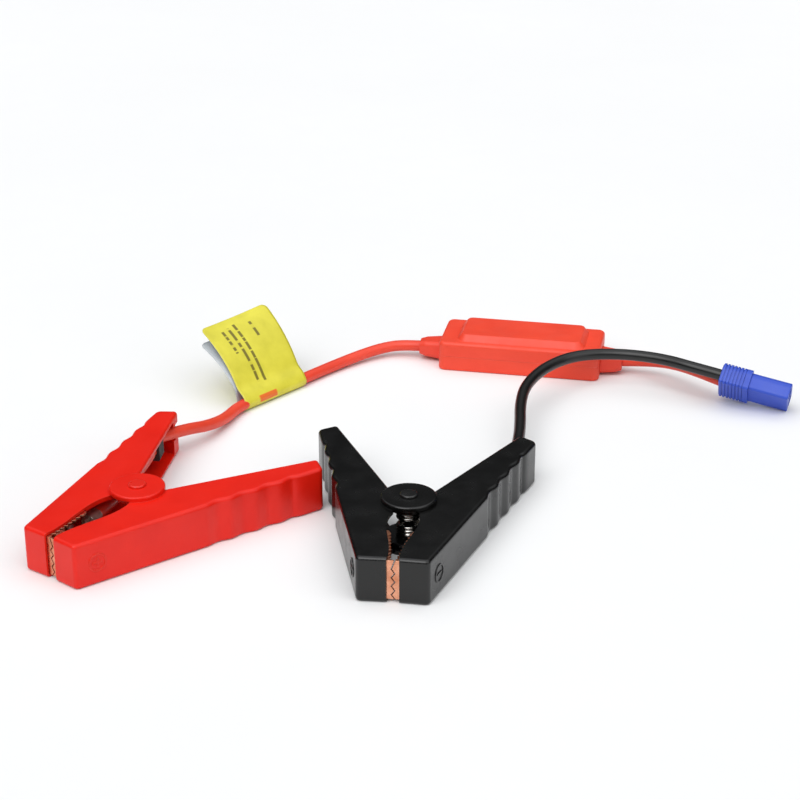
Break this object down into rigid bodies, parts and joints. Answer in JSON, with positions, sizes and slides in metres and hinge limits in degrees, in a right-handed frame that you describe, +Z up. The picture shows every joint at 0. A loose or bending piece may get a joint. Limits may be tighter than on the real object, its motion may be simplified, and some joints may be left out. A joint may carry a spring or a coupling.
{
  "type": "jump-start lead set",
  "caption": "Jump-start lead set: red and black spring clamps, an inline diode module in the red lead, a folded flag label and a keyed two-pole plug.",
  "frame": {"origin": "middle of the footprint of the clamps and the module, on the surface that the set lies on", "axes": "+Z up, clamps towards -Y, module and plug towards +Y and +X"},
  "size_m": [0.3894, 0.3042, 0.0397],
  "materials": {
    "red_housing": "satin moulded plastic",
    "black_housing": "gloss moulded plastic",
    "copper": "bright copper-plated sheet",
    "rivet_steel": "zinc-plated",
    "red_pin_paint": "red coated rivet",
    "black_pin_paint": "black coated rivet",
    "spring_steel": "nickel-plated spring wire",
    "tinned_copper": "tinned",
    "red_silicone": "satin silicone",
    "black_silicone": "satin silicone",
    "grip_rubber": "matte",
    "module_plastic": "fine satin moulded plastic",
    "gland_rubber": "satin overmould",
    "board": "solder mask",
    "diode_epoxy": "moulded epoxy",
    "plug_plastic": "satin nylon",
    "gold_contact": "gold-plated",
    "label_film": "yellow film, pale grey back"
  },
  "bodies": {
    "root": {"black_cable_lug": "tinned_copper", "black_inner_lead": "black_silicone", "black_lead": "black_silicone", "black_lead_grip": "grip_rubber", "black_pivot_pin": "black_pin_paint", "black_spring_lower": "spring_steel", "black_wired_half": "black_housing", "black_wired_jaw": "copper", "black_wired_rivets": "rivet_steel", "circuit_board": "board", "contact_negative": "gold_contact", "contact_positive": "gold_contact", "diode_packs": "diode_epoxy", "gland_left": "gland_rubber", "gland_right": "gland_rubber", "label": "label_film", "module_base": "module_plastic", "module_cover": "module_plastic", "module_lead_tails": "red_silicone", "module_screws": "rivet_steel", "module_terminals": "tinned_copper", "plug_collar": "plug_plastic", "plug_nose": "plug_plastic", "red_cable_lug": "tinned_copper", "red_inner_lead": "red_silicone", "red_lead_front": "red_silicone", "red_lead_grip": "grip_rubber", "red_lead_rear": "red_silicone", "red_pivot_pin": "red_pin_paint", "red_spring_lower": "spring_steel", "red_wired_half": "red_housing", "red_wired_jaw": "copper", "red_wired_rivets": "rivet_steel"},
    "black_free": {"black_free_half": "black_housing", "black_free_jaw": "copper", "black_free_rivets": "rivet_steel", "black_spring_upper": "spring_steel"},
    "red_free": {"red_free_half": "red_housing", "red_free_jaw": "copper", "red_free_rivets": "rivet_steel", "red_spring_upper": "spring_steel"}
  },
  "joints": [
    {"name": "black_pivot", "type": "hinge", "parent": "root", "child": "black_free", "pos_m": [0.0274, -0.0919, 0.0115], "axis": [0, 0, -1], "range_deg": [0, 30], "stiffness_Nm_per_rad": 1.5, "springref_deg": -28.65},
    {"name": "red_pivot", "type": "hinge", "parent": "root", "child": "red_free", "pos_m": [-0.1028, -0.0815, 0.0115], "axis": [0, 0, 1], "range_deg": [0, 30], "stiffness_Nm_per_rad": 1.5, "springref_deg": -28.65}
  ]
}
